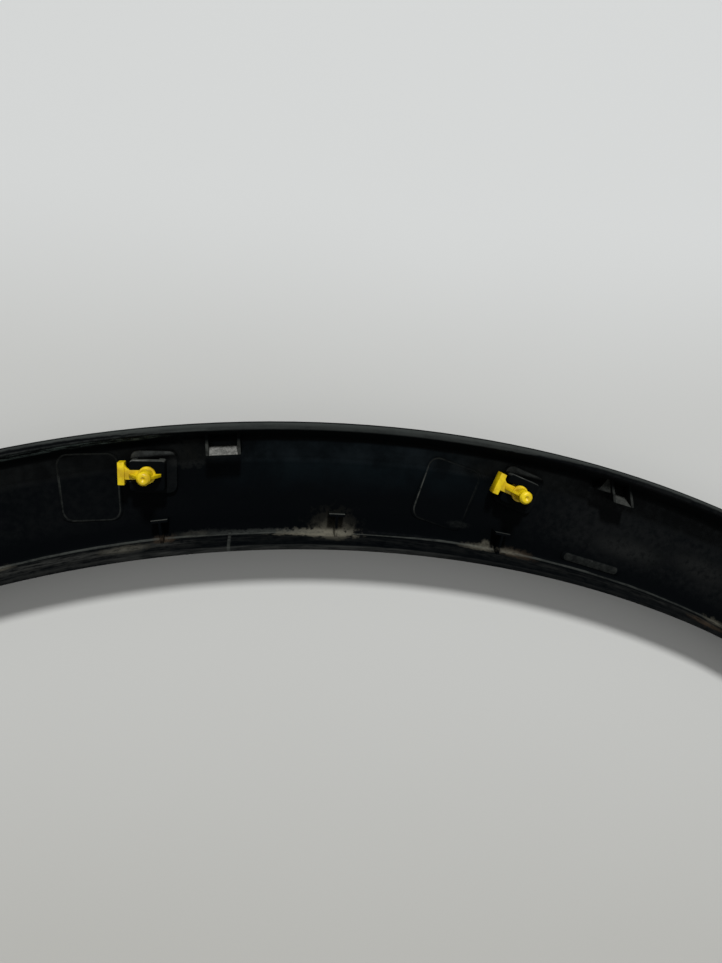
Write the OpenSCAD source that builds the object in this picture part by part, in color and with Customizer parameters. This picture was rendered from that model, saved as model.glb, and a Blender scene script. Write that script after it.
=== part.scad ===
// Wheel arch moulding, lying on its outer face with its hollow back up.
// X runs along the arch, Y points to the crown, Z points into the car body.
// Places on the arch are given by s, the length along its outer edge from the
// crown, and u, the distance from that edge towards the wheel.

/* [Arch] */
// Radius of the outer edge over the crown
crown_r = 535; // [520:1:550]
// Half angle of the crown arc, in degrees
crown_half = 20; // [19:0.5:21]
// Radius of the outer edge round the shoulders
shoulder_r = 400; // [385:1:415]
// Angle from the crown to each end, in degrees
end_angle = 90; // [86:0.5:92]

/* [Section] */
// Width of the moulding from its rim to its wheel side
band_w = 54; // [50:0.5:58]
// Thickness of the outer face
wall_t = 2.5; // [2:0.1:3]
// How far the outer face bows out
face_bow = 0.8; // [0.4:0.1:1.4]
// Height of the rim that meets the car body
rim_h = 16; // [14:0.5:18]
// Width of the rim
rim_w = 3.4; // [2.8:0.1:4]
// Lean of the rim wall, in degrees
wall_lean = 19; // [16:1:21]
// Height of the flange on the wheel side
flange_h = 18; // [16:0.5:20]
// Thickness of the flange
flange_t = 2; // [1.6:0.1:2.4]
// Lean of the flange, in degrees
flange_lean = 7; // [5:1:9]
// Length taken up by each rounded outer corner
corner_l = 3.5; // [2.5:0.1:4.5]
// Thickness of the wall that closes each end
end_t = 2.5; // [2:0.1:4]

/* [Clip towers] */
// Number of clips along the arch
clip_count = 8; // [8]
// Distance of the last clip from each end of the arch
end_gap = 87.3; // [82:0.1:92]
// Distance of the clips from the outer edge
clip_u = 20.8; // [20:0.1:21.5]
// Turn of the towers left of the crown, in degrees
turn_left = 7; // [0:1:10]
// Turn of the towers right of the crown, in degrees
turn_right = 11; // [0:1:12]
// Length of the low base under each tower
base_l = 19.5; // [18.5:0.1:20.5]
// Width of the low base under each tower
base_w = 18.5; // [17.5:0.1:19.5]
// Height of the low base above the back
base_h = 1.2; // [0.8:0.1:1.6]
// How far the base reaches past the tower, away from the slot
base_shift = 1.8; // [1.2:0.1:2.2]
// Corner radius of the base
base_r = 4; // [3:0.1:5]
// Length of the tower
tower_l = 14.4; // [13.8:0.1:15]
// Width of the tower
tower_w = 13; // [12.6:0.1:13.6]
// Height of the tower's top
tower_h = 11; // [10:0.1:12]
// Corner radius of the tower
tower_r = 1.5; // [1:0.1:2]
// Thickness of the tower's walls
tower_t = 1.6; // [1.3:0.1:1.7]
// Thickness of the slotted plate
plate_t = 2; // [1.6:0.1:2.4]
// Length of the window in the tower's outer wall
window_l = 9; // [7:0.1:10]
// Height of the window in the tower's outer wall
window_h = 3; // [2:0.1:3.4]

/* [Clips] */
// Width of the clip's neck
neck_w = 4.5; // [4:0.1:5]
// Gap between the clip and the tower
clip_gap = 0.3; // [0.2:0.05:0.4]
// Diameter of the foot under the plate
foot_d = 8.6; // [8:0.1:9]
// Thickness of the foot
foot_t = 1.4; // [1:0.1:1.6]
// Diameter of the disc on the plate
disc_d = 8.2; // [7.6:0.1:8.8]
// Thickness of the disc
disc_t = 1.2; // [0.8:0.1:1.6]
// Diameter of the stud
stud_d = 6; // [5.6:0.1:6.4]
// Height of the stud above the plate
stud_h = 10; // [8:0.1:12]
// Height of the stud's tapered tip
tip_h = 1.2; // [0.8:0.1:1.6]
// Diameter of the stud's flat end
tip_d = 4.4; // [3.8:0.1:4.8]
// Distance from the stud's axis to the finger bar
bar_x = 9; // [8.7:0.1:9.6]
// Thickness of the finger bar
bar_t = 3; // [2.4:0.1:3.4]
// Reach of the finger bar towards the rim
bar_out = 5.6; // [5.4:0.1:6.4]
// Reach of the finger bar towards the wheel
bar_in = 4.7; // [4:0.1:5.4]
// Height of the finger bar's foot above the part's lowest face
bar_z = 6; // [5:0.1:7]
// Rise of the finger bar above the plate
bar_rise = 0.8; // [0.4:0.1:1.4]
// Radius of the web between the neck and the finger bar
web_r = 2.6; // [1.6:0.1:2.8]
// Thickness of the two wings
wing_t = 1.2; // [1:0.1:1.5]
// Height of the wings on the stud
wing_h = 7; // [5:0.1:7.6]
// Reach of the wing on the finger bar's side
wing_back = 7.2; // [6.4:0.1:8]
// Reach of the wing on the far side
wing_front = 5.8; // [5.2:0.1:6.2]
// Height of the free end of each wing
wing_tip = 1.6; // [1.3:0.1:1.8]

/* [Hooks] */
// Length of each hook left of the crown
hook_l_left = 14.5; // [13:0.1:16]
// Length of each hook right of the crown
hook_l_right = 10.4; // [9.4:0.1:12]
// Reach of each hook from the outer edge
hook_reach = 15; // [14:0.1:15.8]
// Height of the hooks
hook_h = 12.6; // [11.5:0.1:13.5]
// Thickness of the hook's walls
hook_t = 1.4; // [1.1:0.1:1.6]
// Width of the sloping tongue, seen from the back
tongue_w = 3.8; // [3:0.1:4.4]
// Fall of the tongue towards the rim
tongue_fall = 4.5; // [3.5:0.1:5]
// Step from a clip to its hook, left of the crown
hook_step_left = 33.2; // [30:0.1:36]
// Step from a clip to its hook, right of the crown
hook_step_right = 42.6; // [41:0.1:45]
// Slant of the hooks right of the crown, in degrees
hook_slant = 27; // [0:1:30]
// Length of the brace beside each slanted hook
brace_l = 6.5; // [4:0.1:8]
// Drop of the brace below the hook's top
brace_drop = 1.6; // [1:0.1:3]

/* [Ribs and pads] */
// Thickness of the small ribs
rib_t = 1.2; // [1:0.1:1.5]
// Height of the small ribs
rib_h = 9; // [8:0.1:10]
// Distance of each rib's bar from the outer edge
rib_u = 41.3; // [40.5:0.1:42]
// Length of each rib's bar
rib_l = 8; // [7:0.1:9]
// How much nearer the crown a rib stands than its clip
rib_step = 1.8; // [0:0.1:2.5]
// How far the flange's small upright ribs stand out
tick_out = 0.8; // [0.5:0.1:1.2]
// Height of the raised outlines and of the bar pad
line_h = 0.5; // [0.3:0.05:0.8]
// Width of the raised outlines
line_w = 0.8; // [0.6:0.05:1.2]
// Length of each outlined pad along the arch
pad_l = 26; // [24:0.5:26.5]
// Width of each outlined pad across the arch
pad_w = 29.5; // [28:0.5:30]
// Corner radius of the outlined pads
pad_r = 5; // [3:0.5:6]
// Step from a clip back to its outlined pad, left of the crown
pad_step_left = 27; // [27:0.5:29]
// Step from a clip back to its outlined pad, right of the crown
pad_step_right = 32; // [30:0.5:34]
// Middle of the left outlined pad from the outer edge
pad_u_left = 23.8; // [23.5:0.1:24.5]
// Middle of the right outlined pad from the outer edge
pad_u_right = 28.5; // [27.5:0.1:29]
// Length of the raised bar pad
bar_pad_l = 31; // [28:0.5:34]
// Width of the raised bar pad
bar_pad_w = 4; // [3:0.1:4.6]
// Place of the bar pad along the arch
bar_pad_s = 134.5; // [131:0.5:138]
// Distance of the bar pad from the outer edge
bar_pad_u = 45.6; // [45:0.1:46]

/* [Hidden] */
$fa = 2;
$fs = 0.4;
corner_steps = 4;
bow_steps = 6;
round_steps = 5;
edge_cut = 0.7;
sink = 1.2;
reach = 1;
overlap = 1;

// Lengths along the outer edge
crown_len = crown_r * crown_half * PI / 180;
shoulder_len = shoulder_r * (end_angle - crown_half) * PI / 180;
half_len = crown_len + shoulder_len;
clip_pitch = 2 * (half_len - end_gap) / (clip_count - 1);

// Centres of the arcs, placed so that the middle of the arch's box is at Y = 0
centre_step = crown_r - shoulder_r;
arch_h = crown_r - centre_step * cos(crown_half) - (shoulder_r - band_w) * cos(end_angle);
crown_y = arch_h / 2 - crown_r;
shoulder_x = centre_step * sin(crown_half);
shoulder_y = crown_y + centre_step * cos(crown_half);

// Direction of the edge at s, in degrees down from X, and its place
function slope_over(a) =
    a < crown_len ? a / crown_r * 180 / PI : crown_half + (a - crown_len) / shoulder_r * 180 / PI;
function spot_over(a) = let (k = slope_over(a))
    a < crown_len ? [crown_r * sin(k), crown_y + crown_r * cos(k)]
    : [shoulder_x + shoulder_r * sin(k), shoulder_y + shoulder_r * cos(k)];
function side(s) = s < 0 ? -1 : 1;
function turn_at(s) = s < 0 ? turn_left : turn_right;
overlap_l = 2 * crown_r * sin(overlap);
function hook_step(s) = s < 0 ? hook_step_left : hook_step_right;
function clip_s(i) = (i - (clip_count + 1) / 2) * clip_pitch;

// Puts its children at s, with their X along the edge and their Y pointing outwards
module at(s) {
    place = spot_over(abs(s));
    translate([side(s) * place[0], place[1], 0]) rotate([0, 0, -side(s) * slope_over(abs(s))]) children();
}

// Height of the outer face at u, and points that round a corner or follow an arc
function bow(u) = face_bow * pow(2 * u / band_w - 1, 2);
function blend(a, b, c, n) = [for (i = [0:n]) let (t = i / n) (1 - t) * (1 - t) * a + 2 * t * (1 - t) * b + t * t * c];
function arc(c, r, from, to) =
    [for (i = [0:round_steps]) let (k = from + (to - from) * i / round_steps) c + r * [cos(k), sin(k)]];
function rounded(l, w, r) = concat(
    arc([l / 2 - r, w / 2 - r], r, 0, 90), arc([r - l / 2, w / 2 - r], r, 90, 180),
    arc([r - l / 2, r - w / 2], r, 180, 270), arc([l / 2 - r, r - w / 2], r, 270, 360));

// Section of the moulding, as u and height
wall_dir = [-tan(wall_lean), 1];
flange_dir = [tan(flange_lean), 1];
outer_corner = [(rim_h - edge_cut) * tan(wall_lean), 0] + bow(0) * wall_dir;
inner_corner = [band_w - (flange_h - edge_cut) * tan(flange_lean), 0] + bow(band_w) * flange_dir;
crease = [band_w - flange_t - flange_h * tan(flange_lean), 0] + (bow(band_w) + wall_t) * flange_dir;
wall_foot = [rim_w + rim_h * tan(wall_lean), 0] + (bow(0) + wall_t) * wall_dir;
function bowed(from, to, lift) =
    [for (i = [0:bow_steps]) let (u = from + (to - from) * i / bow_steps) [u, bow(u) + lift]];
outer_face = bowed(outer_corner[0] + corner_l, inner_corner[0] - corner_l, 0);
back_face = bowed(crease[0] - wall_t / 2, wall_foot[0] + wall_t / 2, wall_t);
outer_skin = concat(
    [[edge_cut, rim_h], [0, rim_h - edge_cut]],
    blend(outer_corner + corner_l * wall_dir, outer_corner, outer_face[0], corner_steps),
    [for (i = [1:bow_steps - 1]) outer_face[i]],
    blend(outer_face[bow_steps], inner_corner, inner_corner + corner_l * flange_dir, corner_steps),
    [[band_w, flange_h - edge_cut], [band_w - edge_cut, flange_h], [band_w - flange_t, flange_h]]);
function whole(points) = [for (p = points) [round(p[0] * 100) / 100, round(p[1] * 100) / 100]];
solid_outline = whole(concat(outer_skin, [[rim_w, rim_h]]));
hollow_outline = whole(concat(
    [[band_w - flange_t, flange_h + reach], [band_w - flange_t, flange_h]],
    blend(crease + wall_t / 2 * flange_dir, crease, back_face[0], 2),
    [for (i = [1:bow_steps - 1]) back_face[i]],
    blend(back_face[bow_steps], wall_foot, wall_foot + wall_t / 2 * wall_dir, 2),
    [[rim_w, rim_h], [rim_w, rim_h + reach]]));

// Turns an outline of u and height round an arc whose outer edge has radius r, from the X axis on
module sweep_arc(r, turn, outline) rotate_extrude(angle = turn) polygon([for (p = outline) [r - p[0], p[1]]]);

// Pushes an outline of u and height along X
module push(l, outline)
    rotate([90, 0, 90]) linear_extrude(l) polygon([for (p = outline) [-p[0], p[1]]]);

// Turns an outline along half of the crown and one shoulder, up to l from the end. Both arcs
// start from the plane where they meet, and the crown is cut off in its middle.
module half_sweep(outline, l) difference() {
    rotate([0, 0, 90 - crown_half]) {
        sweep_arc(crown_r, crown_half + overlap, outline);
        translate([crown_r - shoulder_r, 0, 0]) mirror([0, 1, 0])
            sweep_arc(shoulder_r, end_angle - crown_half - l / shoulder_r * 180 / PI, outline);
    }
    translate([-overlap_l, 0, -reach]) cube([overlap_l, crown_r + reach, flange_h + 3 * reach]);
}

module channel() translate([0, crown_y, 0])
    for (flip = [0, 1]) mirror([flip, 0, 0]) difference() {
        half_sweep(solid_outline, 0);
        half_sweep(hollow_outline, end_t);
    }

// Slotted box that a clip slides into, on its low base, centred on the clip's stud
module tower() {
    floor_z = face_bow + wall_t + base_h;
    slot_r = neck_w / 2 + clip_gap;
    translate([base_shift, 0, sink]) linear_extrude(floor_z - sink) polygon(rounded(base_l, base_w, base_r));
    difference() {
        translate([0, 0, sink]) linear_extrude(tower_h - sink) polygon(rounded(tower_l, tower_w, tower_r));
        translate([-tower_l / 2 - reach, tower_t - tower_w / 2, floor_z])
            cube([tower_l + reach - tower_t, tower_w - 2 * tower_t, tower_h - plate_t - floor_z]);
        translate([0, 0, tower_h - plate_t - reach]) linear_extrude(plate_t + 2 * reach)
            polygon(concat(arc([0, 0], slot_r, -90, 90),
                [[-tower_l / 2 - reach, slot_r], [-tower_l / 2 - reach, -slot_r]]));
        translate([-window_l / 2, 0, floor_z]) cube([window_l, tower_w, window_h]);
    }
}

// Bracket of length l with two thin walls and a tongue that falls towards the rim. A slanted
// one has a brace in the corner between its near wall and the rim.
module hook(l, slant) {
    root_u = rim_w / 2 + 2;
    lean = tan(slant);
    inner_u = hook_reach - tongue_w;
    module leaf(x, t, points)
        multmatrix([[1, -lean, 0, x], [0, 1, 0, 0], [0, 0, 1, 0]]) push(t, points);
    walls = [[root_u, hook_h - 1], [root_u, rim_h / 2], [hook_reach, sink],
        [hook_reach, hook_h], [inner_u, hook_h]];
    tongue = [[inner_u, hook_h - tongue_fall], [inner_u, hook_h - tongue_fall - hook_t],
        [hook_reach, hook_h - hook_t], [hook_reach, hook_h]];
    leaf(-l / 2, hook_t, walls);
    leaf(l / 2 - hook_t, hook_t, walls);
    leaf(-l / 2, l, tongue);
    if (slant > 0) translate([0, 0, sink]) linear_extrude(hook_h - brace_drop - sink)
        polygon([for (p = [[0, root_u], [hook_t / 2, root_u], [hook_t / 2, inner_u], [-brace_l, inner_u]])
            [p[0] - l / 2 + lean * p[1], -p[1]]]);
}

// Small rib with a cross bar, tied to the flange
module rib() {
    foot_u = crease[0] + (rib_h - crease[1]) * tan(flange_lean) + flange_t / 2;
    translate([-rib_l / 2, -rib_u - rib_t / 2, sink]) cube([rib_l, rib_t, rib_h - sink]);
    translate([-rib_t / 2, -foot_u, sink]) cube([rib_t, foot_u - rib_u, rib_h - sink]);
}

// Small upright rib on the flange, from the crease to near its top
module tick() {
    top_z = flange_h - edge_cut;
    top_u = crease[0] + (top_z - crease[1]) * tan(flange_lean);
    foot_u = crease[0] - wall_t / 2 * tan(flange_lean);
    translate([-rib_t / 2, 0, 0]) push(rib_t, [[foot_u - tick_out, sink], [foot_u + flange_t / 2, sink],
        [top_u + flange_t / 2, top_z], [top_u - tick_out, top_z]]);
}

// Thin raised line round a pad
module outline_pad()
    translate([0, 0, sink]) linear_extrude(bow(clip_u) + wall_t + line_h - sink)
        difference() {
            polygon(rounded(pad_l, pad_w, pad_r));
            polygon(rounded(pad_l - 2 * line_w, pad_w - 2 * line_w, pad_r - line_w));
        }

module bar_pad()
    translate([0, 0, sink]) linear_extrude(bow(bar_pad_u) + wall_t + line_h - sink)
        polygon(rounded(bar_pad_l, bar_pad_w, bar_pad_w / 2 - 0.1));

module moulding() color([0.05, 0.05, 0.055]) {
    channel();
    for (i = [1:clip_count]) {
        s = clip_s(i);
        at(s) translate([0, -clip_u, 0]) rotate([0, 0, -turn_at(s)]) tower();
        at(s - side(s) * rib_step) rib();
    }
    for (i = [1:clip_count - 1]) {
        s = clip_s(i);
        at(s + hook_step(s)) hook(s < 0 ? hook_l_left : hook_l_right, s < 0 ? 0 : hook_slant);
        if (s < 0) at(s + hook_step(s)) tick();
    }
    at(0) rib();
    at(clip_s(4) - pad_step_left) translate([0, -pad_u_left, 0]) rotate([0, 0, -turn_left]) outline_pad();
    at(clip_s(5) - pad_step_right) translate([0, -pad_u_right, 0]) rotate([0, 0, -turn_right]) outline_pad();
    at(bar_pad_s) translate([0, -bar_pad_u, 0]) bar_pad();
}

// Outline of the finger bar, its web and the neck that lies in the slot
handle = concat(
    [[-bar_x - bar_t, bar_out], [-bar_x - bar_t, -bar_in], [-bar_x, -bar_in], [-bar_x, -neck_w / 2],
        [0, -neck_w / 2], [0, neck_w / 2]],
    arc([web_r - bar_x, neck_w / 2 + web_r], web_r, 270, 180),
    [[-bar_x, bar_out]]);

// One clip, with Z = 0 on the slotted plate
module clip_body() {
    stud_r = stud_d / 2;
    translate([0, 0, clip_gap - plate_t]) linear_extrude(plate_t - clip_gap) polygon(handle);
    translate([-bar_x - bar_t, -bar_in, bar_z - tower_h])
        cube([bar_t, bar_in + bar_out, tower_h - bar_z + bar_rise]);
    translate([0, 0, -plate_t - clip_gap - foot_t]) cylinder(d = foot_d, h = foot_t);
    translate([0, 0, -plate_t - clip_gap - foot_t]) cylinder(d = neck_w, h = plate_t + clip_gap + foot_t);
    cylinder(d = disc_d, h = disc_t);
    cylinder(d = stud_d, h = stud_h - tip_h);
    translate([0, 0, stud_h - tip_h]) cylinder(d1 = stud_d, d2 = tip_d, h = tip_h);
    translate([0, wing_t / 2, 0]) rotate([90, 0, 0]) linear_extrude(wing_t)
        polygon([[-wing_back, 0], [-wing_back, wing_tip / 2], [-stud_r, wing_h], [0, wing_h],
            [stud_r, wing_h], [wing_front, wing_tip], [wing_front, clip_gap], [0, clip_gap], [0, 0]]);
}

module clip(i) color([0.93, 0.78, 0.04]) {
    s = clip_s(i);
    at(s) translate([0, -clip_u, tower_h]) rotate([0, 0, -turn_at(s)]) clip_body();
}

moulding();
for (i = [1:clip_count]) clip(i);
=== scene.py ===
import math
from math import radians

import bmesh
import bpy
from mathutils import Matrix, Vector


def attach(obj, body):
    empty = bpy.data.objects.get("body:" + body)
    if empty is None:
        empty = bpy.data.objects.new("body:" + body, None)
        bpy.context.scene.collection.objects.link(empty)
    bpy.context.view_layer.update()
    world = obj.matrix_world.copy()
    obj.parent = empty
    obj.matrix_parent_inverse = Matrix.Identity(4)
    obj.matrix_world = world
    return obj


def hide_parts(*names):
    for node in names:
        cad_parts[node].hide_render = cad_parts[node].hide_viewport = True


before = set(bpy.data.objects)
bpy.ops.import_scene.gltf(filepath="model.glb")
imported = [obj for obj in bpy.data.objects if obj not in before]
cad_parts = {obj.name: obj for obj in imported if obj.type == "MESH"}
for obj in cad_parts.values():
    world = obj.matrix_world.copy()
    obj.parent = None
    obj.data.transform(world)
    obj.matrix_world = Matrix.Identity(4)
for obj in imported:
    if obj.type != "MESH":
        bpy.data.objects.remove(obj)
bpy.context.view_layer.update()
print("the frame is loaded")

mm = 0.001  # shapes are drawn in millimetres and scaled as they become objects
tiny = 1e-6
mergeWithin = 0.0005
past = 1  # how far a cutter reaches past what it cuts
sunk = 1.2  # height at which what stands on the back starts, inside the outer face

# Where things lie on the arch, in millimetres and degrees: s runs along the outer edge from the
# crown, u from that edge towards the wheel
arch = {
    "crownRadius": 535,
    "crownHalf": 20,
    "shoulderRadius": 400,
    "endAngle": 90,
    "bandWidth": 54.4,
    "clipCount": 8,
    "endGap": 87.3,
    "clipU": 20.8,
    "turnLeft": 7,
    "turnRight": 11,
}
crownAngle = radians(arch["crownHalf"])
shoulderAngle = radians(arch["endAngle"] - arch["crownHalf"])
crownLength = arch["crownRadius"] * crownAngle
halfLength = crownLength + arch["shoulderRadius"] * shoulderAngle
centreStep = arch["crownRadius"] - arch["shoulderRadius"]
innerRadius = arch["shoulderRadius"] - arch["bandWidth"]
crownTop = (arch["crownRadius"] - centreStep * math.cos(crownAngle)
            - innerRadius * math.cos(radians(arch["endAngle"]))) / 2
crownY = crownTop - arch["crownRadius"]
shoulderX = centreStep * math.sin(crownAngle)
shoulderY = crownY + centreStep * math.cos(crownAngle)
clipPitch = 2 * (halfLength - arch["endGap"]) / (arch["clipCount"] - 1)


def clipS(number):
    return (number - (arch["clipCount"] + 1) / 2) * clipPitch


def sideOf(s):
    return -1 if s < 0 else 1


# How far the towers, clips and pads are turned against the edge
def turnAt(s):
    return arch["turnLeft"] if s < 0 else arch["turnRight"]


# Matrix that puts a piece at s and u, with its X along the edge and its Y outwards
def seat(s, u=0, turn=0):
    along, side = abs(s), sideOf(s)
    if along < crownLength:
        slope = along / arch["crownRadius"]
        x = arch["crownRadius"] * math.sin(slope)
        y = crownY + arch["crownRadius"] * math.cos(slope)
    else:
        slope = crownAngle + (along - crownLength) / arch["shoulderRadius"]
        x = shoulderX + arch["shoulderRadius"] * math.sin(slope)
        y = shoulderY + arch["shoulderRadius"] * math.cos(slope)
    return (Matrix.Translation((side * x, y, 0)) @ Matrix.Rotation(-side * slope, 4, "Z")
            @ Matrix.Translation((0, -u, 0)) @ Matrix.Rotation(-radians(turn), 4, "Z"))


# The way back from a point to its s and u
def measure(x, y):
    side = sideOf(x)
    angle = math.atan2(abs(x), y - crownY)
    if angle < crownAngle:
        return side * angle * arch["crownRadius"], arch["crownRadius"] - math.hypot(x, y - crownY)
    dx, dy = abs(x) - shoulderX, y - shoulderY
    along = crownLength + (math.atan2(dx, dy) - crownAngle) * arch["shoulderRadius"]
    return side * along, arch["shoulderRadius"] - math.hypot(dx, dy)


# Points that round the corner b between a and c
def cornerPoints(a, b, c, count):
    a, b, c = Vector(a), Vector(b), Vector(c)
    steps = [i / count for i in range(count + 1)]
    return [(1 - t) ** 2 * a + 2 * t * (1 - t) * b + t * t * c for t in steps]


def arcPoints(x, y, radius, start, end, count):
    angles = [radians(start + (end - start) * i / count) for i in range(count + 1)]
    return [(x + radius * math.cos(a), y + radius * math.sin(a)) for a in angles]


def rectangle(left, low, right, high):
    return [(left, low), (right, low), (right, high), (left, high)]


def roundedRectangle(length, width, radius, count=6):
    x, y = length / 2, width / 2
    points = []
    for a, b in ((1, 1), (-1, 1), (-1, -1), (1, -1)):
        start = Vector((a * x, b * (y - radius)))
        end = Vector((a * (x - radius), b * y))
        if a * b < 0:
            start, end = end, start
        points += cornerPoints(start, (a * x, b * y), end, count)
    return points


def closedLine(bm, points):
    verts = [bm.verts.new(point) for point in points]
    return [bm.edges.new((verts[i - 1], verts[i])) for i in range(len(verts))]


def edgesAt(bm, height):
    return [e for e in bm.edges if all(abs(v.co.z - height) < tiny for v in e.verts)]


def roundEdges(bm, edges, offset, segments=2):
    bmesh.ops.bevel(bm, geom=edges, offset=offset, offset_type="OFFSET", segments=segments,
                    profile=0.5, affect="EDGES", clamp_overlap=True, material=-1)


# Closed solid from an outline in XY, with its upper edges rounded
def prism(outline, low, high, soft=0, segments=2):
    bm = bmesh.new()
    edges = closedLine(bm, [(x, y, low) for x, y in outline])
    face = bmesh.ops.contextual_create(bm, geom=edges)["faces"][0]
    grown = bmesh.ops.extrude_face_region(bm, geom=[face])["geom"]
    grown = [g for g in grown if isinstance(g, bmesh.types.BMVert)]
    bmesh.ops.translate(bm, vec=(0, 0, high - low), verts=grown)
    bmesh.ops.recalc_face_normals(bm, faces=bm.faces[:])
    if soft:
        roundEdges(bm, edgesAt(bm, high), soft, segments)
    return bm


# Closed solid from an outline in u and height, pushed along X, with all its edges rounded
def push(outline, start, length, soft):
    bm = prism(outline, 0, length)
    roundEdges(bm, bm.edges[:], soft)
    turn = Matrix(((0, 0, 1, start), (-1, 0, 0, 0), (0, 1, 0, 0), (0, 0, 0, 1)))
    bmesh.ops.transform(bm, matrix=turn, verts=bm.verts[:])
    bmesh.ops.recalc_face_normals(bm, faces=bm.faces[:])
    return bm


def toObject(name, bm, scale=1):
    if scale != 1:
        bmesh.ops.scale(bm, vec=(scale, scale, scale), verts=bm.verts[:])
    mesh = bpy.data.meshes.new(name)
    bm.to_mesh(mesh)
    bm.free()
    piece = bpy.data.objects.new(name, mesh)
    bpy.context.scene.collection.objects.link(piece)
    return piece


def shadeSmooth(piece, sharpAngle):
    for polygon in piece.data.polygons:
        polygon.use_smooth = True
    piece.data.set_sharp_from_angle(angle=radians(sharpAngle))


# Adds a copy of source to target, moved by the matrix
def addCopy(target, source, matrix):
    mesh = bpy.data.meshes.new("copy")
    source.to_mesh(mesh)
    mesh.transform(matrix)
    target.from_mesh(mesh)
    bpy.data.meshes.remove(mesh)


# Joins or cuts solids with exact booleans
def combine(base, other, operation="UNION"):
    first, second = toObject("first", base), toObject("second", other)
    change = first.modifiers.new("change", "BOOLEAN")
    change.operation, change.object, change.solver = operation, second, "EXACT"
    graph = bpy.context.evaluated_depsgraph_get()
    mesh = bpy.data.meshes.new_from_object(first.evaluated_get(graph))
    bm = bmesh.new()
    bm.from_mesh(mesh)
    for old in (first, second):
        oldMesh = old.data
        bpy.data.objects.remove(old)
        bpy.data.meshes.remove(oldMesh)
    bpy.data.meshes.remove(mesh)
    return bm


def openEdges(bm):
    return sum(not e.is_manifold for e in bm.edges)


# The channel: rim, outer face and flange
channel = {
    "wall": 2.5,
    "bow": 0.8,
    "rimHeight": 16,
    "rimWidth": 3.4,
    "wallLean": 19,
    "flangeHeight": 18,
    "flangeWall": 2,
    "flangeLean": 8.4,
    "cornerLength": 3.5,
    "creaseRound": 1.6,
    "rimRound": 0.9,
    "rimRoundIn": 1.2,
    "lipRound": 0.72,
    "innerDrop": 0.7,
    "innerRound": 0.5,
    "inset": 0.02,  # keeps the outline just inside the edges of the band
    "topInset": 0.03,
    "near": 0.01,  # how near to the outline counts as on it
    "endWall": 2.5,
    "crownSteps": 18,
    "shoulderSteps": 50,
    "faceSteps": 8,
    "sharpAngle": 32,
}


def bowAt(u):
    return channel["bow"] * (2 * u / arch["bandWidth"] - 1) ** 2


# The two halves of the section, as points of u and height: outside from rim to lip, inside back
def channelOutline():
    band, wall = arch["bandWidth"], channel["wall"]
    rimHeight, rimWidth = channel["rimHeight"], channel["rimWidth"]
    flangeHeight, flangeWall = channel["flangeHeight"], channel["flangeWall"]
    corner, crease, drop = channel["cornerLength"], channel["creaseRound"], channel["innerDrop"]
    inset, topInset = channel["inset"], channel["topInset"]
    lipRound, innerRound = channel["lipRound"], channel["innerRound"]
    wallDir = Vector((-math.tan(radians(channel["wallLean"])), 1))
    flangeDir = Vector((math.tan(radians(channel["flangeLean"])), 1))

    def slide(point, direction, height):  # along the direction to that height
        return point + direction * (height - point[1])

    def onFace(u, lift):
        return Vector((u, bowAt(u) + lift))

    def faceLine(start, end, lift):
        count = channel["faceSteps"]
        return [onFace(start + (end - start) * i / count, lift) for i in range(1, count)]

    outerTop = Vector((inset, rimHeight - drop))
    outerFoot = slide(outerTop, wallDir, bowAt(0))
    flangeTop = Vector((band - inset, flangeHeight - drop))
    flangeFoot = slide(flangeTop, flangeDir, bowAt(band))
    innerRim = Vector((rimWidth, rimHeight))
    innerFoot = slide(innerRim, wallDir, bowAt(0) + wall)
    innerLip = Vector((band - flangeWall, flangeHeight))
    creaseAt = slide(innerLip, flangeDir, bowAt(band) + wall)
    outerStart, outerEnd = outerFoot[0] + corner, flangeFoot[0] - corner
    backStart, backEnd = creaseAt[0] - crease, innerFoot[0] + crease

    outer = cornerPoints((channel["rimRoundIn"], rimHeight), (topInset, rimHeight),
                         slide(outerTop, wallDir, rimHeight - channel["rimRound"]), 4)
    outer += cornerPoints(outerFoot + wallDir * corner, outerFoot, onFace(outerStart, 0), 6)
    outer += faceLine(outerStart, outerEnd, 0)
    outer += cornerPoints(onFace(outerEnd, 0), flangeFoot, flangeFoot + flangeDir * corner, 6)
    outer += cornerPoints(slide(flangeTop, flangeDir, flangeHeight - lipRound),
                          (band - topInset, flangeHeight), (band - lipRound, flangeHeight), 3)
    inner = cornerPoints((innerLip[0] + innerRound, flangeHeight), innerLip,
                         slide(innerLip, flangeDir, flangeHeight - innerRound), 3)
    inner += cornerPoints(creaseAt + flangeDir * crease, creaseAt, onFace(backStart, wall), 6)
    inner += faceLine(backStart, backEnd, wall)
    inner += cornerPoints(onFace(backEnd, wall), innerFoot, innerFoot + wallDir * crease, 6)
    inner += cornerPoints(slide(innerRim, wallDir, rimHeight - drop), innerRim,
                          (rimWidth - drop, rimHeight), 3)
    return outer, inner


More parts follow.
